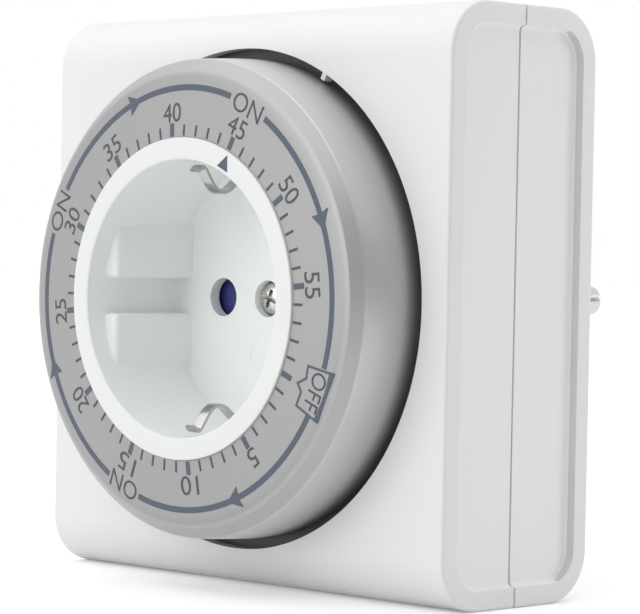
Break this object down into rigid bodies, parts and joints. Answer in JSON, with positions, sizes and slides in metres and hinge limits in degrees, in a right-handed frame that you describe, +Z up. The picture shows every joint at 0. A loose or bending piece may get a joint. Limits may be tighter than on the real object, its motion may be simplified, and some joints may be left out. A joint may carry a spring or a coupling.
{
  "type": "plug-in timer",
  "caption": "Plug-in countdown timer: a square white case with a turning dial round a socket in front and a round plug behind.",
  "frame": {"origin": "midway between the two plug pins, on the plug's face that meets a wall socket", "axes": "+X to the right seen from the front, +Y along the plug pins towards the wall, +Z up"},
  "size_m": [0.082, 0.0805, 0.084],
  "materials": {
    "case": "satin white moulding",
    "dial": "satin silver-grey paint",
    "cup": "satin pale grey moulding",
    "shutter": "matte",
    "nickel": "polished nickel plate",
    "zinc": "zinc plate",
    "steel": "turned",
    "spring": "rolled strip",
    "bronze": "rolled strip",
    "gear": "natural moulding",
    "frame": "moulding",
    "lever": "moulding",
    "base": "moulding"
  },
  "bodies": {
    "housing": {"front_shell": "case", "rear_shell": "case", "case_screws": "zinc", "socket_insert": "cup", "centre_screw": "nickel", "shutter_spring": "spring", "earth_bow": "nickel", "plug_earth": "nickel", "live_pin": "nickel", "neutral_pin": "nickel", "live_grip": "bronze", "neutral_grip": "bronze", "live_in": "bronze", "live_out": "bronze", "movement_frame": "frame", "motor": "zinc", "switch_pivot": "steel", "switch_base": "base", "contact_leaf": "bronze", "fixed_contact": "bronze"},
    "dial": {"dial_ring": "dial", "gear_ring": "gear"},
    "output": {"output_arbor": "steel", "clutch_spring": "spring"},
    "clutch": {"clutch_wheel": "gear"},
    "motor_rotor": {"motor_pinion": "steel"},
    "lever": {"switch_lever": "lever"},
    "shutter_plate": {"shutter": "shutter"}
  },
  "joints": [
    {"name": "dial_turn", "type": "hinge", "parent": "housing", "child": "dial", "pos_m": [0, -0.0495, 0], "axis": [0, 1, 0], "continuous": true},
    {"name": "output_turn", "type": "hinge", "parent": "housing", "child": "output", "pos_m": [0.02767, -0.0395, -0.02767], "axis": [0, 1, 0], "continuous": true},
    {"name": "clutch_turn", "type": "hinge", "parent": "housing", "child": "clutch", "pos_m": [0.02767, -0.0367, -0.02767], "axis": [0, 1, 0], "continuous": true},
    {"name": "motor_turn", "type": "hinge", "parent": "housing", "child": "motor_rotor", "pos_m": [0.01717, -0.0365, -0.02767], "axis": [0, 1, 0], "continuous": true},
    {"name": "lever_lift", "type": "hinge", "parent": "housing", "child": "lever", "pos_m": [0.0258, -0.0418, 0.02673], "axis": [0, 1, 0], "range_deg": [0, 4.8], "stiffness_Nm_per_rad": 0.005, "springref_deg": -5.73, "deforming": ["contact_leaf"]},
    {"name": "shutter_turn", "type": "hinge", "parent": "housing", "child": "shutter_plate", "pos_m": [0, -0.041, 0], "axis": [0, 1, 0], "range_deg": [0, 40], "stiffness_Nm_per_rad": 0.004, "springref_deg": -11.46, "deforming": ["shutter_spring"]}
  ],
  "couplings": [
    {"joint": "output_turn", "follows": "dial_turn", "ratio": -12},
    {"joint": "motor_turn", "follows": "clutch_turn", "ratio": -5}
  ]
}
